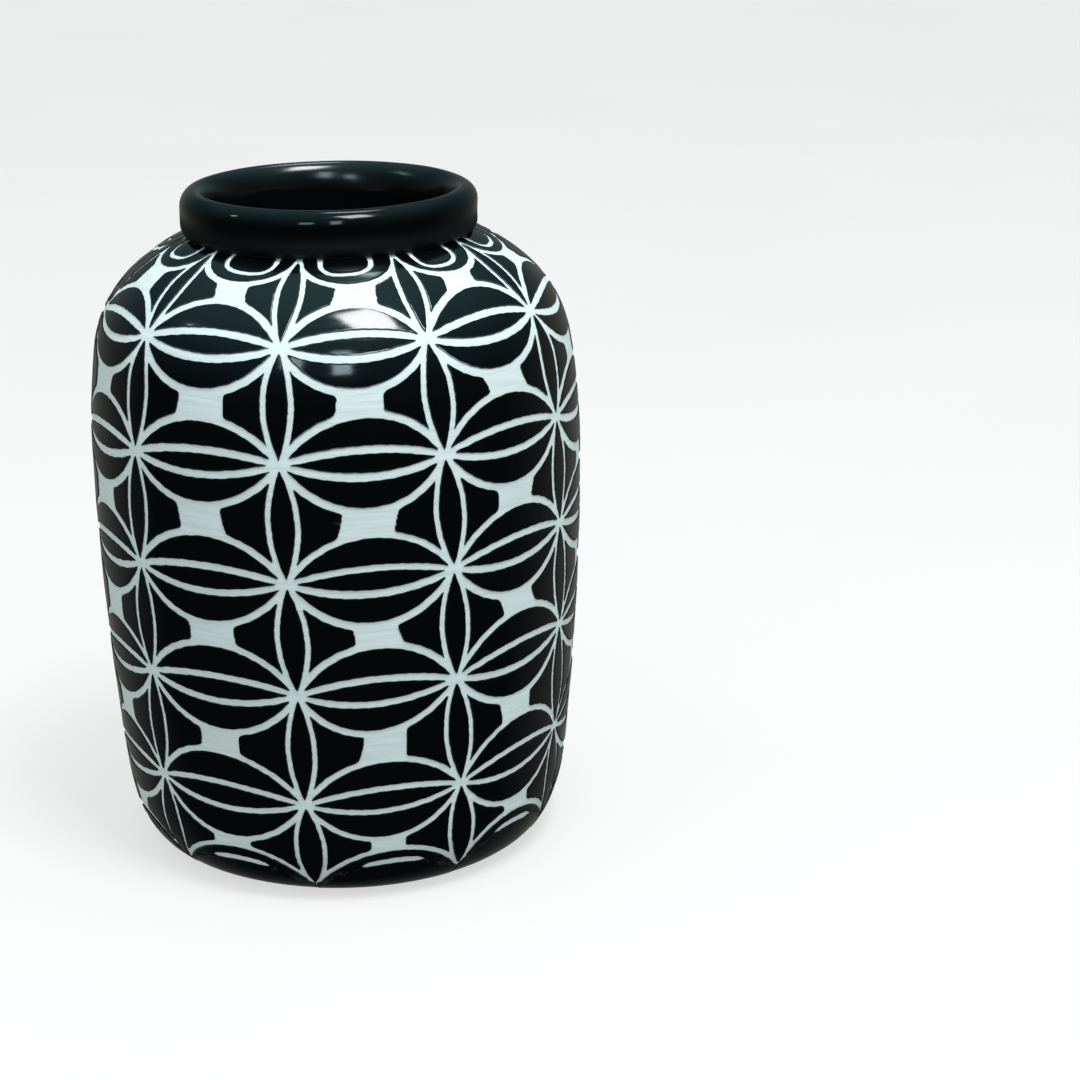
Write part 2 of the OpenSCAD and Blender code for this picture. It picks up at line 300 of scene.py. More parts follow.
def math_node(tree, operation, *values):
    node = tree.nodes.new("ShaderNodeMath")
    node.operation = operation
    for value, socket in zip(values, node.inputs):
        if isinstance(value, bpy.types.NodeSocket):
            tree.links.new(value, socket)
        else:
            socket.default_value = value
    return node.outputs[0]


def carve_mark(tree):
    """1 at a panel's cut edge, 0 on its face."""
    node = tree.nodes.new("ShaderNodeAttribute")
    node.attribute_name = "carve"
    return node.outputs["Fac"]


def object_height(tree):
    coords = tree.nodes.new("ShaderNodeTexCoord")
    parts = tree.nodes.new("ShaderNodeSeparateXYZ")
    tree.links.new(coords.outputs["Object"], parts.inputs[0])
    return parts.outputs["Z"]


def black_coat_material(name, carved, smooth=0.07, dull=0.15, dull_below=None, shine=0.5):
    """Burnished black: nearly black, glossy, with faint burnishing streaks round the jar."""
    material, tree, shader = new_material(name)
    plain = stretched(tree, 1, 1)
    streaks = noise(tree, stretched(tree, 30, 520), 1.0, 4, 0.6)
    cloud = noise(tree, plain, 45, 3, 0.55)
    grain = noise(tree, plain, 900, 3, 0.6)
    colour = ramp(tree, cloud, [(0.3, (0.0006, 0.0013, 0.0017)), (0.7, (0.0016, 0.0022, 0.0024))])
    rough = spread(tree, streaks, 0.3, 0.75, smooth, dull)
    if dull_below:
        low, high = (z * MM for z in dull_below)
        handled = spread(tree, object_height(tree), low, high, 0.6, smooth)
        rough = math_node(tree, "MAXIMUM", handled, rough)
    if carved:
        edge = carve_mark(tree)
        colour = mix(tree, edge, colour, (0.016, 0.021, 0.021))
        rough = math_node(tree, "MULTIPLY_ADD", edge, 0.3, rough)
    tree.links.new(colour, shader.inputs["Base Color"])
    tree.links.new(rough, shader.inputs["Roughness"])
    shader.inputs["IOR"].default_value = 1.5
    shader.inputs["Specular IOR Level"].default_value = shine
    undulation = noise(tree, stretched(tree, 26, 60), 1.0, 1, 0.4)
    bump(tree, shader, [(undulation, 0.35, 0.0012), (streaks, 0.12, 0.00012),
                        (grain, 0.05, 0.00005)])
    return material


def white_slip_material():
    """Matte pale slip, laid bare by scraping: fine level strokes and slight stains."""
    material, tree, shader = new_material("white_slip")
    plain = stretched(tree, 1, 1)
    strokes = noise(tree, stretched(tree, 70, 1500), 1.0, 5, 0.65, 0.3)
    cloud = noise(tree, plain, 70, 4, 0.6)
    grain = noise(tree, plain, 1600, 3, 0.65)
    base = ramp(tree, strokes, [(0.28, (0.51, 0.62, 0.61)), (0.5, (0.585, 0.71, 0.70)),
                                (0.75, (0.63, 0.76, 0.75))])
    colour = mix(tree, spread(tree, cloud, 0.35, 0.75, 0.0, 0.3), base, (0.52, 0.62, 0.60))
    tree.links.new(colour, shader.inputs["Base Color"])
    tree.links.new(spread(tree, cloud, 0.3, 0.7, 0.62, 0.8), shader.inputs["Roughness"])
    shader.inputs["Specular IOR Level"].default_value = 0.35
    bump(tree, shader, [(strokes, 0.3, 0.00015), (cloud, 0.2, 0.0005), (grain, 0.3, 0.00005)])
    return material


def clay_material():
    """Bare fired clay: matte grey-black, sandy, with turning rings."""
    material, tree, shader = new_material("bare_clay")
    plain = stretched(tree, 1, 1)
    cloud = noise(tree, plain, 60, 4, 0.6)
    grit = noise(tree, plain, 1300, 4, 0.7)
    wave = tree.nodes.new("ShaderNodeTexWave")
    wave.wave_type = "RINGS"
    wave.rings_direction = "Z"
    wave.inputs["Scale"].default_value = 110
    wave.inputs["Distortion"].default_value = 1.5
    wave.inputs["Detail"].default_value = 2
    tree.links.new(plain, wave.inputs["Vector"])
    colour = ramp(tree, cloud, [(0.3, (0.030, 0.028, 0.027)), (0.7, (0.075, 0.068, 0.064))])
    colour = mix(tree, spread(tree, grit, 0.55, 0.8, 0.0, 0.5), colour, (0.13, 0.12, 0.11))
    tree.links.new(colour, shader.inputs["Base Color"])
    tree.links.new(spread(tree, grit, 0.3, 0.7, 0.75, 0.95), shader.inputs["Roughness"])
    bump(tree, shader, [(wave.outputs["Fac"], 0.35, 0.0003), (grit, 0.5, 0.0001)])
    return material


def floor_material():
    material, tree, shader = new_material("studio_floor")
    cloud = noise(tree, stretched(tree, 1, 1), 4, 3, 0.5)
    colour = ramp(tree, cloud, [(0.3, (0.25, 0.25, 0.25)), (0.7, (0.27, 0.27, 0.27))])
    tree.links.new(colour, shader.inputs["Base Color"])
    shader.inputs["Emission Color"].default_value = (1.0, 1.0, 1.0, 1)
    shader.inputs["Emission Strength"].default_value = 0.62
    shader.inputs["Roughness"].default_value = 0.9
    shader.inputs["Specular IOR Level"].default_value = 0.1
    return material


COAT = black_coat_material("black_coat", True)
COLLAR_BLACK = black_coat_material("collar_black", False, dull_below=(181.0, 185.0), shine=0.26)
INNER_BLACK = black_coat_material("inner_black", False, 0.16, 0.24)
SLIP = white_slip_material()
CLAY = clay_material()


# ---------------------------------------------------------------- where the stars stand
def star_places():
    """Angle and run of every star, by row and column, with the hand's small errors."""
    k = np.arange(ROWS + 1)[:, None]
    c = np.arange(COLUMNS + 1)[None, :]
    level = COLUMN_START + 360 / COLUMNS * c
    angle = level + COLUMN_FAN * k / ROWS * np.sin(np.radians(level))
    near = (level + 180) % 360 - 180
    angle = angle + (k > 0) * TWIST * (k - TWIST_START) * np.exp(
        -((near - TWIST_ANGLE) / TWIST_REACH)**2)
    run = np.where(k == 0, 0.0, FIRST_ROW + (k - 1) * ROW_PITCH) + 0 * c
    side = np.sin(np.radians(angle))
    run = run - ROW_CLIMB * k / ROWS * np.maximum(0, side)**2
    run = run + ROW_DROP * (k > 0) * (k < ROWS) * np.maximum(0, -side)
    sag = np.exp(-((near - SAG_ANGLE) / SAG_REACH)**2)
    run = run - np.array(ROW_SAG)[:, None] * sag
    shift = rng.normal(0, STAR_ERROR, angle.shape)
    drop = rng.normal(0, STAR_ERROR, angle.shape)
    shift[:, COLUMNS - 1] -= WIDE_COLUMN
    drop[0] = 0
    angle, run = angle + shift, run + drop
    angle[:, COLUMNS] = angle[:, 0] + 360
    run[:, COLUMNS] = run[:, 0]
    return angle, np.minimum(run, TOTAL - STAR_MARGIN)


STAR_ANGLE, STAR_RUN = star_places()


def star(c, k):
    turns, column = divmod(c, COLUMNS)
    return np.array([STAR_ANGLE[k, column] + 360 * turns, STAR_RUN[k, column]])


def bow(p, q, rise, lean=0.0, samples=28):
    """A circle arc from star p to star q in (angle, run), rising towards the collar."""
    t = np.linspace(0, 1, samples)
    half = math.radians(q[0] - p[0]) * float(radius_at((p[1] + q[1]) / 2)) / 2
    r = arc_radius(half, abs(rise))
    s = t + lean * t * (1 - t)
    height = np.sqrt(np.maximum(0, r * r - ((2 * s - 1) * half)**2)) - (r - abs(rise))
    angle = p[0] + (q[0] - p[0]) * t
    return np.stack([angle, p[1] + (q[1] - p[1]) * t - math.copysign(1, rise) * height], 1)


def upright(p, q, width, samples=22):
    """An upright arc from star p down to star q that bulges sideways by width, in mm."""
    t = np.linspace(0, 1, samples)
    half = (q[1] - p[1]) / 2
    r = arc_radius(half, abs(width))
    out = np.sqrt(np.maximum(0, r * r - ((2 * t - 1) * half)**2)) - (r - abs(width))
    run = p[1] + (q[1] - p[1]) * t
    angle = p[0] + (q[0] - p[0]) * t
    return np.stack([angle + np.degrees(math.copysign(1, width) * out / radius_at(run)), run], 1)


def arc_table(error):
    """A small random error for each of the two arcs of every row and column."""
    return rng.normal(0, error, (ROWS + 1, COLUMNS, 2))


RISE_ERROR = arc_table(0.035)
LEAN_ERROR = arc_table(0.07)
WIDTH_ERROR = arc_table(0.05)
LEAF_ERROR = arc_table(0.05)
BRIDGE_ERROR = rng.normal(0, 1, (ROWS + 1, COLUMNS, 3)) * (0.6, 0.5, 0.7)
BRIDGE_SWELL = 0.3
CUP_REACH, CUP_DEPTH, CUP_LINE = 0.5, 7.2, 1.4
CUP_ERROR = rng.normal(0, 1, (COLUMNS, 3)) * (0.02, 0.4, 1.1)
FOOT_STROKE_RISE, FOOT_STROKE_SHARE, FOOT_STROKE_W = 0.262, 0.23, 2.1
FOOT_OVERLAP = 0.9
FOOT_CUP_SINK = 0.12


def level_arc(c, k, share, up):
    """One of the four arcs between two neighbouring stars of a row."""
    column = c % COLUMNS
    side = 0 if up else 1
    rise = share * ROW_PITCH * (1 + RISE_ERROR[k, column, side])
    if k == 0:
        rise *= COLLAR_ARC_SHARE
    return bow(star(c, k), star(c + 1, k), rise if up else -rise,
               LEAN_ERROR[k, column, side])


def leaf_arc(c, band, right):
    """One side of the upright leaf that hangs from a star in the row above the band."""
    p, q = star(c, band - 1), star(c, band)
    pitch = math.radians(360 / COLUMNS) * float(radius_at((p[1] + q[1]) / 2))
    width = LEAF_SHARE * pitch * (1 + LEAF_ERROR[band, c % COLUMNS, int(right)])
    return upright(p, q, width if right else -width)


# ---------------------------------------------------------------- one carved panel
def flat_from(curve, centre):
    """(angle, run) to millimetres on a flat sheet laid on the skin at the centre."""
    x = np.radians(curve[:, 0] - centre[0]) * radius_at(curve[:, 1])
    return np.stack([x, curve[:, 1] - centre[1]], 1)


def skin_from(points, centre):
    run = points[:, 1] + centre[1]
    return centre[0] + np.degrees(points[:, 0] / radius_at(run)), run


def distance_to(points, line, half):
    """Distance from each point to a polyline, and the polyline's half width there."""
    a, b = line[:-1], line[1:]
    ab = b - a
    ap = points[:, None, :] - a[None]
    t = np.clip((ap * ab).sum(-1) / np.maximum((ab * ab).sum(-1), 1e-12), 0, 1)
    gap = ap - t[..., None] * ab
    square = (gap * gap).sum(-1)
    near = square.argmin(1)
    row = np.arange(len(points))
    way = t[row, near]
    return np.sqrt(square[row, near]), half[near] * (1 - way) + half[near + 1] * way


def inside(points, loop):
    x, y = points[:, 0, None], points[:, 1, None]
    a, b = loop, np.roll(loop, -1, 0)
    crosses = (a[:, 1] > y) != (b[:, 1] > y)
    rise = np.where(np.abs(b[:, 1] - a[:, 1]) < 1e-12, 1e-12, b[:, 1] - a[:, 1])
    at = (b[:, 0] - a[:, 0]) * (y - a[:, 1]) / rise + a[:, 0]
    return (crosses & (x < at)).sum(1) % 2 == 1


def smooth_min(a, b, k):
    h = np.clip(0.5 + 0.5 * (b - a) / k, 0, 1)
    return b + (a - b) * h - k * h * (1 - h)


def ragged(angle, run):
    """Small unevenness of the cutting tool's edge, in mm."""
    x = np.radians(angle) * 60
    return (0.050 * np.sin(x * 1.9 + 0.7 * run + 1.0) + 0.040 * np.sin(run * 2.3 - x * 0.6 + 2.0)
            + 0.030 * np.sin(x * 3.7 - run * 2.9 + 0.5))


def level_loops(field, level, origin, step):
    """Closed outlines where a gridded field passes a level (marching squares)."""
    f = field - level
    f[f == 0] = 1e-9
    on = f > 0
    rows, columns = f.shape
    code = (on[:-1, :-1] * 1 + on[:-1, 1:] * 2 + on[1:, 1:] * 4 + on[1:, :-1] * 8)
    pairs = {1: [(3, 0)], 2: [(0, 1)], 3: [(3, 1)], 4: [(1, 2)], 5: [(3, 2), (1, 0)],
             6: [(0, 2)], 7: [(3, 2)], 8: [(2, 3)], 9: [(2, 0)], 10: [(0, 3), (2, 1)],
             11: [(2, 1)], 12: [(1, 3)], 13: [(1, 0)], 14: [(0, 3)]}

    def crossing(i, j, side):
        """Key and place of the crossing on one side of the square at row i, column j."""
        ends = (((i, j), (i, j + 1)), ((i, j + 1), (i + 1, j + 1)),
                ((i + 1, j), (i + 1, j + 1)), ((i, j), (i + 1, j)))[side]
        (i0, j0), (i1, j1) = ends
        t = f[i0, j0] / (f[i0, j0] - f[i1, j1])
        return ends, (origin[0] + (j0 + (j1 - j0) * t) * step,
                      origin[1] + (i0 + (i1 - i0) * t) * step)

    follow, where = {}, {}
    for i, j in zip(*np.nonzero((code > 0) & (code < 15))):
        for a, b in pairs[int(code[i, j])]:
            (ka, pa), (kb, pb) = crossing(i, j, a), crossing(i, j, b)
            follow[ka] = kb
            where[ka], where[kb] = pa, pb
    loops = []
    while follow:
        start, at = follow.popitem()
        keys = [start]
        while at != start and at in follow:
            keys.append(at)
            at = follow.pop(at)
        loops.append(np.array([where[key] for key in keys]))
    return loops


def area(loop):
    x, y = loop.T
    return abs((x * np.roll(y, -1) - y * np.roll(x, -1)).sum()) / 2


def respaced(loop, gap):
    """The same outline with evenly spaced points."""
    closed = np.vstack([loop, loop[:1]])
    length = np.concatenate([[0], np.cumsum(np.hypot(*np.diff(closed, axis=0).T))])
    count = max(8, int(round(length[-1] / gap)))
    at = np.arange(count) * length[-1] / count
    return np.stack([np.interp(at, length, closed[:, 0]), np.interp(at, length, closed[:, 1])], 1)


def sample(field, points, origin, step):
    """Value and slope of a gridded field at loose points."""
    gx = np.clip((points[:, 0] - origin[0]) / step, 0, field.shape[1] - 1.001)
    gy = np.clip((points[:, 1] - origin[1]) / step, 0, field.shape[0] - 1.001)
    j, i = gx.astype(int), gy.astype(int)
    u, v = gx - j, gy - i
    a, b, c, d = field[i, j], field[i, j + 1], field[i + 1, j], field[i + 1, j + 1]
    value = a * (1 - u) * (1 - v) + b * u * (1 - v) + c * (1 - u) * v + d * u * v
    slope = np.stack([(b - a) * (1 - v) + (d - c) * v, (c - a) * (1 - u) + (d - b) * u], 1)
    size = np.maximum(np.linalg.norm(slope, axis=1, keepdims=True), 1e-9)
    return value, slope / size


def cut_fields(flat, ragged_on):
    """Depth into the black inside a closed chain of flat edges, on a grid.

    Gives the depth from the edge, the depth from worked edges alone, and the grid's corner."""
    loop = np.concatenate([line for line, _, _ in flat])
    low, high = loop.min(0) - 2 * STEP, loop.max(0) + 2 * STEP
    columns, rows = (np.ceil((high - low) / STEP).astype(int) + 1)
    gx, gy = np.meshgrid(low[0] + np.arange(columns) * STEP, low[1] + np.arange(rows) * STEP)
    grid = np.stack([gx.ravel(), gy.ravel()], 1)
    sign = np.where(inside(grid, loop), 1.0, -1.0)
    field = worked = None
    for line, half, fillet in sorted(flat, key=lambda e: e[2]):
        away, cut = distance_to(grid, line, half)
        part = away * sign - cut
        # A seam that only overlaps its neighbour shows no worked edge
        seamless = part + 2 * np.maximum(-cut, 0)
        if field is None:
            field, worked = part, seamless
        elif fillet > 0:
            field, worked = smooth_min(field, part, fillet), smooth_min(worked, seamless, fillet)
        else:
            field, worked = np.minimum(field, part), np.minimum(worked, seamless)
    rough = ragged_on(grid)
    field = (field + rough).reshape(rows, columns)
    worked = (worked + rough).reshape(rows, columns)
    field[[0, -1]] = -1
    field[:, [0, -1]] = -1
    return field, worked, low


def sheet_triangles(field, low):
    """Triangles over the part of the sheet that is left black, facing outward."""
    rings = [respaced(ring, gap) for level, gap in RINGS
             for ring in level_loops(field.copy(), level, low, STEP) if area(ring) > SMALLEST_ISLAND]
    links, first = [], 0
    for ring in rings:
        count = len(ring)
        links += [(first + i, first + (i + 1) % count) for i in range(count)]
        first += count
    high = low + (np.array(field.shape[::-1]) - 1) * STEP
    ix, iy = np.meshgrid(np.arange(low[0], high[0], FACE_SPACING),
                         np.arange(low[1], high[1], FACE_SPACING * 0.87))
    ix[1::2] += FACE_SPACING / 2
    middle = np.stack([ix.ravel(), iy.ravel()], 1)
    middle = middle[sample(field, middle, low, STEP)[0] > EDGE_ROUND + FACE_MARGIN]
    points = [tuple(p) for ring in rings for p in ring] + [tuple(p) for p in middle]
    out = delaunay_2d_cdt(points, links, [], 1, 1e-5, False)
    flat_points = np.array([(v[0], v[1]) for v in out[0]])
    triangles = np.array([f for f in out[2] if len(f) == 3], int)
    triangles = triangles[sample(field, flat_points[triangles].mean(1), low, STEP)[0] > -0.02]
    used = np.unique(triangles)
    remap = -np.ones(len(flat_points), int)
    remap[used] = np.arange(len(used))
    flat_points, triangles = flat_points[used], remap[triangles]
    a, b, c = (flat_points[triangles[:, i]] for i in range(3))
    turn = (b[:, 0] - a[:, 0]) * (c[:, 1] - a[:, 1]) - (b[:, 1] - a[:, 1]) * (c[:, 0] - a[:, 0])
    # Run grows downwards, so a turn to the right on the flat sheet faces outward
    return flat_points, np.where((turn > 0)[:, None], triangles[:, ::-1], triangles)


def carved_island(edges, sink):
    """The black left standing inside a closed chain of edges, as a closed mesh.

    edges are (curve in angle and run, half width cut away along it, fillet or 0), end to end.
    Gives vertices, faces, corner normals and edge marks."""
    corners = np.concatenate([curve for curve, _, _ in edges])
    centre = (corners.max(0) + corners.min(0)) / 2
    flat = [(flat_from(curve, centre), half + np.zeros(len(curve)), fillet)
            for curve, half, fillet in edges]
    field, worked, low = cut_fields(flat, lambda grid: ragged(*skin_from(grid, centre)))
    flat_points, triangles = sheet_triangles(field, low)

    slope = sample(field, flat_points, low, STEP)[1]
    angle, run = skin_from(flat_points, centre)
    near = 1 - np.clip(sample(worked, flat_points, low, STEP)[0] / EDGE_ROUND, 0, 1)
    top = on_skin(angle, run, EDGE_DROP * near**2 + sink)
    under = on_skin(angle, run, np.full(len(run), COAT_T + PANEL_FOOTING))
    out_way, side_way, down_way = skin_axes(angle, run)
    away = -(slope[:, :1] * side_way + slope[:, 1:] * down_way)
    tilt = np.radians(EDGE_TILT) * near**1.3
    top_normal = out_way * np.cos(tilt)[:, None] + away * np.sin(tilt)[:, None]
    # An overlapping seam is shaded like the face it belongs to
    edge_way = away * near[:, None] + out_way * (1 - near[:, None])

    count = len(top)
    ways = np.concatenate([triangles[:, [0, 1]], triangles[:, [1, 2]], triangles[:, [2, 0]]])
    seen = {(int(p), int(q)) for p, q in ways}
    rim = np.array([(p, q) for p, q in seen if (q, p) not in seen])
    walls = np.stack([rim[:, 1], rim[:, 0], rim[:, 0] + count, rim[:, 1] + count], 1)
    floor = triangles[:, ::-1]
    faces = triangles.tolist() + walls.tolist() + (floor + count).tolist()
    normals = np.concatenate([way.reshape(-1, 3) for way in (
        top_normal[triangles], edge_way[rim[:, [1, 0, 0, 1]]], -out_way[floor])])
    return np.concatenate([top, under]), faces, normals, np.concatenate([near**2, near**2])


def panel_object(name, cells, node, sink=0.0):
    """One object of separate panels, each given as its chain of edges."""
    verts, faces, normals, marks, first = [], [], [], [], 0
    for i, edges in enumerate(cells):
        # Neighbours that overlap lie at two depths, so their faces never coincide
        v, f, n, m = carved_island(edges, sink * (1 + i % 2))
        verts.append(v)
        faces += [tuple(j + first for j in face) for face in f]
        normals.append(n)
        marks.append(m)
        first += len(v)
    obj = new_object(name, np.concatenate(verts), faces, COAT, np.concatenate(normals))
    mark = obj.data.attributes.new("carve", "FLOAT", "POINT")
    mark.data.foreach_set("value", np.concatenate(marks).astype(np.float32))
    place(obj, "black_coat", node)


# ---------------------------------------------------------------- the kinds of panel
def tapered(curve, width):
    """Half width along a cut between two stars: the tool enters and leaves it narrow."""
    step = np.diff(curve, axis=0)
    step[:, 0] = np.radians(step[:, 0]) * radius_at((curve[1:, 1] + curve[:-1, 1]) / 2)
    way = np.concatenate([[0], np.cumsum(np.hypot(*step.T))])
    t = np.clip(np.minimum(way, way[-1] - way) / TAPER_RUN, 0, 1)
    return width / 2 * (STAR_TAPER + (1 - STAR_TAPER) * t * t * (3 - 2 * t))


def arc_edge(c, k, share, up):
    curve = level_arc(c, k, share, up)
    width = ARC_WIDTHS[k] * (1 + WIDTH_ERROR[k, c % COLUMNS, int(up)])
    return curve, tapered(curve, width), 0


def leaf_edge(c, band, right):
    curve = leaf_arc(c, band, right)
    return curve, tapered(curve, LEAF_WIDTHS[band - 1]), 0


def back(edge):
    """The same edge run the other way."""
    return edge[0][::-1], edge[1][::-1], edge[2]


def lens_cell(c, k):
    return [arc_edge(c, k, INNER_RISE, True), back(arc_edge(c, k, INNER_RISE, False))]


def lobe_cell(c, k, up):
    return [arc_edge(c, k, OUTER_RISE, up), back(arc_edge(c, k, INNER_RISE, up))]


def leaf_cell(c, band):
    return [leaf_edge(c, band, True), back(leaf_edge(c, band, False))]


def up_to(edge, limit, right):
    """The part of a level edge that lies outside the bridge."""
    curve, half, fillet = edge
    keep = curve[:, 0] > limit if right else curve[:, 0] < limit
    return curve[keep], half[keep], fillet


def corner_cell(c, band, right):
    """The rounded triangle between a leaf, two outer arcs and the white bridge."""
    column = c % COLUMNS
    upper = arc_edge(c, band - 1, OUTER_RISE, False)
    lower = arc_edge(c, band, OUTER_RISE, True)
    leaf = leaf_edge(c + 1, band, False) if right else leaf_edge(c, band, True)
    if right:
        upper, lower = back(upper), back(lower)
    middle = (star(c, band) + star(c + 1, band) + star(c, band - 1) + star(c + 1, band - 1)) / 4
    per_mm = math.degrees(1 / float(radius_at(middle[1])))
    width, shift, slant = BRIDGE_ERROR[band, column]
    reach = (BRIDGE_WIDTHS[band - 1] + width) / 2 * (1 if right else -1)
    side = middle[0] + per_mm * (shift + reach)
    upper = up_to(upper, side + per_mm * slant, right)
    lower = up_to(lower, side - per_mm * slant, right)
    t = np.linspace(0, 1, 10)[:, None]
    bridge = upper[0][-1] + (lower[0][-1] - upper[0][-1]) * t
    bridge[:, 0] += per_mm * BRIDGE_SWELL * (-4 if right else 4) * t[:, 0] * (1 - t[:, 0])
    return [upper, (bridge, 0.0, BRIDGE_FILLET), back(lower), back(leaf)]


def cup_curve(c, samples=34):
    """A U-shaped cut that hangs from the collar between two stars, never twice the same."""
    p, q = star(c, 0), star(c + 1, 0)
    wide, deep, shift = CUP_ERROR[c % COLUMNS]
    a = np.linspace(math.pi, 0, samples)
    x = np.sign(np.cos(a)) * np.abs(np.cos(a))**0.75
    y = np.abs(np.sin(a))**0.62
    middle = (p[0] + q[0]) / 2 + shift
    angle = middle + (q[0] - p[0]) * (CUP_REACH + wide) / 2 * x
    return np.stack([angle, p[1] + (CUP_DEPTH + deep) * y * (1 + 0.06 * x * np.sign(shift))], 1)


def straight(p, q, samples=12):
    return p + (q - p) * np.linspace(0, 1, samples)[:, None]


def scallop_cell(c):
    cup = cup_curve(c)
    return [arc_edge(c, 0, OUTER_RISE, False),
            (straight(star(c + 1, 0), cup[-1]), -COLLAR_OVERLAP, 0),
            (cup[::-1], CUP_LINE / 2, 0), (straight(cup[0], star(c, 0)), -COLLAR_OVERLAP, 0)]


def cup_cell(c):
    cup = cup_curve(c)
    return [(cup, CUP_LINE / 2, 0), (straight(cup[-1], cup[0]), -COLLAR_OVERLAP, 0)]


def foot_stroke(c):
    """The line between the two foot panels: open in the middle, closed towards the stars."""
    curve = level_arc(c, ROWS, FOOT_STROKE_RISE, True)
    t = np.linspace(0, 1, len(curve))
    middle = 0.5 + CUP_ERROR[c % COLUMNS, 0]
    open_way = np.clip(1 - (np.abs(t - middle) / FOOT_STROKE_SHARE)**8, 0, 1)
    return curve, -FOOT_OVERLAP + (FOOT_OVERLAP + FOOT_STROKE_W / 2) * open_way, 0


def foot_cell(c, inner):
    """The black under a foot arc, outside or inside the short stroke that follows the arc."""
    stroke = foot_stroke(c)
    p, q = stroke[0][0], stroke[0][-1]
    low_p, low_q = (np.array([end[0], TOTAL - FOOT_MARGIN]) for end in (p, q))
    if inner:
        return [stroke, (straight(q, low_q, 4), -FOOT_OVERLAP, 0),
                (straight(low_q, low_p), 0.0, 0), (straight(low_p, p, 4), -FOOT_OVERLAP, 0)]
    return [arc_edge(c, ROWS, OUTER_RISE, True), back(stroke)]


def every_column(make):
    return [make(c) for c in range(COLUMNS)]


for k in range(1, ROWS):
    panel_object(f"lens_row_{k}_coat", every_column(lambda c: lens_cell(c, k)),
                 f"lens_panels_row_{k}")
    panel_object(f"upper_lobe_row_{k}_coat", every_column(lambda c: lobe_cell(c, k, True)),
                 f"upper_lobe_panels_row_{k}")
    panel_object(f"lower_lobe_row_{k}_coat", every_column(lambda c: lobe_cell(c, k, False)),
                 f"lower_lobe_panels_row_{k}")
for band in range(1, ROWS + 1):
    panel_object(f"leaf_band_{band}_coat", every_column(lambda c: leaf_cell(c, band)),
                 f"leaf_panels_band_{band}")
    panel_object(f"left_corner_band_{band}_coat",
                 every_column(lambda c: corner_cell(c, band, False)),
                 f"left_corner_panels_band_{band}")
    panel_object(f"right_corner_band_{band}_coat",
                 every_column(lambda c: corner_cell(c, band, True)),
                 f"right_corner_panels_band_{band}")
panel_object("shoulder_scallop_coat", every_column(scallop_cell), "shoulder_scallops")
panel_object("shoulder_cup_coat", every_column(cup_cell), "shoulder_cups")
panel_object("foot_scallop_coat", every_column(lambda c: foot_cell(c, False)), "foot_scallops")
panel_object("foot_cup_coat", every_column(lambda c: foot_cell(c, True)), "foot_cups",
             FOOT_CUP_SINK)


# ---------------------------------------------------------------- white slip ground
def slip_ground(name, run_from, run_to, node):
    """A shell of slip whose face keeps the shallow marks of the scraping tool."""
    rows = int((run_to - run_from) / SLIP_SPACING)
    back_rows = rows // SLIP_BACK_SHARE
    run = np.linspace(run_from, run_to, rows)[:, None]
    back_run = np.linspace(run_to, run_from, back_rows)[:, None]
    angle = np.arange(SLIP_COLUMNS)[None, :] * 360 / SLIP_COLUMNS
    x = np.radians(angle)
    marks = (0.030 * np.sin(run * 2.6 + 3 * np.sin(4 * x)) * np.sin(9 * x + run * 0.4)
             + 0.020 * np.sin(run * 4.1 + 11 * x) + 0.015 * np.sin(23 * x - run * 1.3))
    near_foot = np.clip((run - TOTAL + FOOT_GROUND_RUN) / FOOT_GROUND_SLOPE, 0, 1)
    sink = FOOT_GROUND_SINK * near_foot
    face = on_skin(angle + 0 * run, run + 0 * angle, GROUND_DEPTH + sink + marks)
    back = on_skin(angle + 0 * back_run, back_run + 0 * angle, COAT_T + SLIP_T)
    verts = np.concatenate([face.reshape(-1, 3), back.reshape(-1, 3)])
    obj = new_object(name, verts, ring_faces(rows + back_rows, SLIP_COLUMNS), SLIP,
                     smooth_angle=50)
    place(obj, "white_slip", node)


SLIP_JOINT = FIRST_ROW + 2 * ROW_PITCH
slip_ground("slip_ground_upper", 0.0, SLIP_JOINT, "white_slip_upper")
slip_ground("slip_ground_lower", SLIP_JOINT, TOTAL, "white_slip_lower")


# ---------------------------------------------------------------- collar and inside
def quarter(centre_z, half_w, half_h, start, samples=30):
    """A quarter of an ellipse about the crest of the lip, from a start angle in degrees."""
    a = np.radians(start + np.linspace(0, 90, samples))
    return np.stack([CREST_R + half_w * np.cos(a), centre_z + half_h * np.sin(a)], 1)


def lip_outside(inset):
    return quarter(JAR_H - LIP_ROUND, COLLAR_R - CREST_R - inset, LIP_ROUND - inset, 0)


def lip_inside(inset):
    return quarter(JAR_H - LIP_DROP, CREST_R - MOUTH_R - inset, LIP_DROP - inset, 90)


def bulge(inset, samples=24):
    a = np.radians(np.linspace(-90, 0, samples))
    return np.stack([NECK_R + (COLLAR_R - NECK_R) * np.cos(a) - inset,
                     BULGE_Z + (BULGE_Z - NECK_Z) * np.sin(a)], 1)


def collar_face(inset, samples=8):
    """The upright outer face of the collar."""
    z = np.linspace(BULGE_Z, JAR_H - LIP_ROUND, samples + 2)[1:-1]
    return np.stack([np.full(samples, COLLAR_R - inset), z], 1)


def wall_line(depth, samples=90):
    """Inner face of the wall at a depth below the skin, from the neck down to the floor."""
    run = np.linspace(0, TOTAL, samples)
    nr, nz = np.interp(run, RUN, NORMAL[:, 0]), np.interp(run, RUN, NORMAL[:, 1])
    return np.stack([radius_at(run) - depth * nr,
                     np.interp(run, RUN, SKIN[:, 1]) - depth * nz], 1)


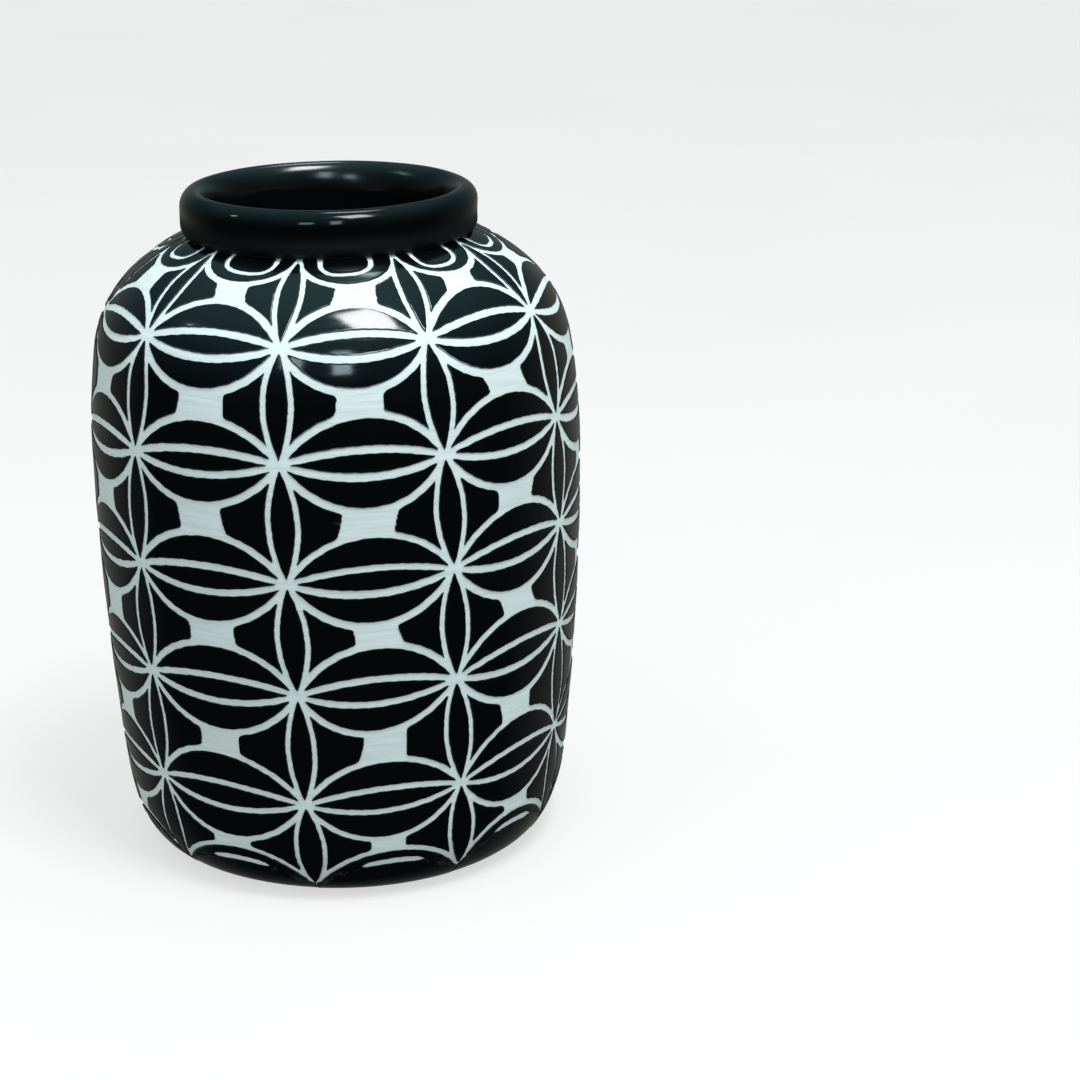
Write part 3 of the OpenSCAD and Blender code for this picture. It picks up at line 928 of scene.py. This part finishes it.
def lathe(name, outline, material, unevenness, columns=360):
    """A closed outline of radius and height turned round the axis, a little out of true."""
    outline = np.asarray(outline)
    angle = np.arange(columns)[None, :] * 2 * math.pi / columns
    r, z = outline[:, :1], outline[:, 1:]
    r = np.maximum(r + unevenness(angle, z) * (r > 1), 0.01)
    verts = np.stack([r * np.sin(angle), -r * np.cos(angle), z + 0 * angle], -1)
    return new_object(name, verts.reshape(-1, 3), ring_faces(len(outline), columns),
                      material, smooth_angle=40)


def collar_unevenness(angle, z):
    grip = np.clip((z - NECK_Z) / 4, 0, 1)
    return grip * (0.16 * np.sin(2 * angle + 0.4) + 0.10 * np.sin(5 * angle + z / 3)
                   + 0.07 * np.sin(9 * angle - z / 2))


collar = lathe("collar_coat", np.concatenate([
    bulge(0), collar_face(0), lip_outside(0), lip_outside(COAT_T)[::-1],
    collar_face(COAT_T)[::-1], bulge(COAT_T)[::-1]]),
    COLLAR_BLACK, collar_unevenness)
place(collar, "collar_black", "collar_glaze")

room = wall_line(COAT_T + SLIP_T + WALL_T + COAT_T)
cave = wall_line(COAT_T + SLIP_T + WALL_T)
floor_z = cave[-1, 1]
throat = np.array([[MOUTH_R, THROAT_Z]])
throat_back = np.array([[MOUTH_R + COAT_T, THROAT_Z]])
inside_floor = np.array([[r, floor_z + COAT_T] for r in np.linspace(room[-1, 0], 0, 12)[1:]])
under_floor = np.array([[r, floor_z] for r in np.linspace(0, cave[-1, 0], 12)[:-1]])
lining = lathe("inner_coat", np.concatenate([
    lip_inside(0), throat, room, inside_floor, under_floor, cave[::-1], throat_back,
    lip_inside(COAT_T)[::-1]]), INNER_BLACK, collar_unevenness)
place(lining, "inner_black", "inner_glaze")

for node in ("base_disc", "lower_wall", "middle_wall", "shoulder_wall", "rolled_collar"):
    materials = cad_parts[node].data.materials
    materials.clear()
    materials.append(CLAY)


# ---------------------------------------------------------------- floor, light and camera
LIGHT_DISTANCE = 1.1
KEY_COLOUR, WINDOW_COLOUR = (0.98, 1.0, 1.0), (0.72, 0.9, 1.0)
CAMERA_PLACE, CAMERA_LENS = (57.77, -734.0, 325.3), 88.7
CAMERA_PITCH, CAMERA_TILT = 0.316, -0.011


def studio_floor(half=9.0):
    mesh = bpy.data.meshes.new("studio_floor")
    mesh.from_pydata([(-half, -half, 0), (half, -half, 0), (half, half, 0), (-half, half, 0)],
                     [], [(0, 1, 2, 3)])
    mesh.materials.append(floor_material())
    obj = bpy.data.objects.new("studio_floor", mesh)
    bpy.context.scene.collection.objects.link(obj)
    obj.visible_glossy = False
    obj.visible_diffuse = False


def soft_box(name, azimuth, elevation, width, height, power, colour):
    """A soft box that faces the jar; azimuth 0 is in front of it, 90 to its right."""
    a, e = math.radians(azimuth), math.radians(elevation)
    way = np.array([math.sin(a) * math.cos(e), -math.cos(a) * math.cos(e), math.sin(e)])
    target = np.array([0, 0, JAR_H * MM * 0.6])
    light = bpy.data.lights.new(name, "AREA")
    light.shape = "RECTANGLE"
    light.size, light.size_y, light.energy, light.color = width, height, power, colour
    obj = bpy.data.objects.new(name, light)
    bpy.context.scene.collection.objects.link(obj)
    back = way / np.linalg.norm(way)
    right = np.cross((0, 0, 1), back)
    right /= np.linalg.norm(right)
    up = np.cross(back, right)
    turn = np.stack([right, up, back], 1)
    obj.matrix_world = Matrix.Translation(target + way * LIGHT_DISTANCE) @ Matrix(turn).to_4x4()
    return obj


def studio_world():
    """A pale room, brighter overhead; reflections see it darker so that black stays black."""
    world = bpy.data.worlds.new("studio")
    bpy.context.scene.world = world
    world.use_nodes = True
    tree = world.node_tree
    background = tree.nodes["Background"]
    coords = tree.nodes.new("ShaderNodeTexCoord")
    split = tree.nodes.new("ShaderNodeSeparateXYZ")
    tree.links.new(coords.outputs["Generated"], split.inputs[0])
    diffuse = ramp(tree, spread(tree, split.outputs["Z"], -1, 1, 0, 1), [
        (0.0, (0.34, 0.34, 0.33)), (0.5, (0.77, 0.79, 0.79)), (1.0, (0.74, 0.78, 0.79))])
    ceiling = ramp(tree, split.outputs["Z"], [
        (0.0, (0.02, 0.03, 0.036)), (0.5, (0.08, 0.17, 0.20)), (0.87, (0.26, 0.52, 0.59)),
        (1.0, (0.34, 0.74, 0.82))])
    behind = mix(tree, spread(tree, split.outputs["Z"], 0.05, 0.5, 1.0, 0.0),
                 (0.0, 0.0, 0.0), (0.15, 0.155, 0.125))
    glossy = mix(tree, spread(tree, split.outputs["Y"], 0.0, 0.9, 0.0, 1.0), ceiling, behind,
                 "ADD")
    path = tree.nodes.new("ShaderNodeLightPath")
    tree.links.new(mix(tree, path.outputs["Is Glossy Ray"], diffuse, glossy),
                   background.inputs["Color"])
    background.inputs["Strength"].default_value = 1.0


def studio_camera():
    """Stands in front of the jar and a little to its right, looking down."""
    forward = np.array([0, math.cos(CAMERA_PITCH), -math.sin(CAMERA_PITCH)])
    up = np.array([0, math.sin(CAMERA_PITCH), math.cos(CAMERA_PITCH)])
    right = np.array([1.0, 0, 0])
    tilted_right = right * math.cos(CAMERA_TILT) + up * math.sin(CAMERA_TILT)
    tilted_up = up * math.cos(CAMERA_TILT) - right * math.sin(CAMERA_TILT)
    camera = bpy.data.cameras.new("camera")
    camera.sensor_width = 36.0
    camera.lens = CAMERA_LENS
    obj = bpy.data.objects.new("camera", camera)
    bpy.context.scene.collection.objects.link(obj)
    turn = np.stack([tilted_right, tilted_up, -forward], 1)
    place_m = np.array(CAMERA_PLACE) * MM
    obj.matrix_world = Matrix.Translation(place_m) @ Matrix(turn).to_4x4()
    bpy.context.scene.camera = obj


studio_floor()
studio_world()
soft_box("key", 37, 66, 0.30, 0.41, 9.0, KEY_COLOUR)
ceiling = soft_box("ceiling", 10, 66, 1.2, 1.2, 3.2, KEY_COLOUR)
ceiling.visible_glossy = False
# Windows of the room that only show as reflections in the black
for name, azimuth, elevation, width, height, power in (
        ("overhead_window", 172, 66, 0.26, 0.20, 1.5),
        ("low_window_left", -17, 32, 0.17, 0.2, 0.7),
        ("low_window_right", 8, 32, 0.15, 0.40, 1.5),
        ("left_glint", -86, 40, 0.08, 0.08, 0.3)):
    window = soft_box(name, azimuth, elevation, width, height, power, WINDOW_COLOUR)
    window.visible_diffuse = False
studio_camera()
bpy.context.scene.view_settings.view_transform = "Standard"
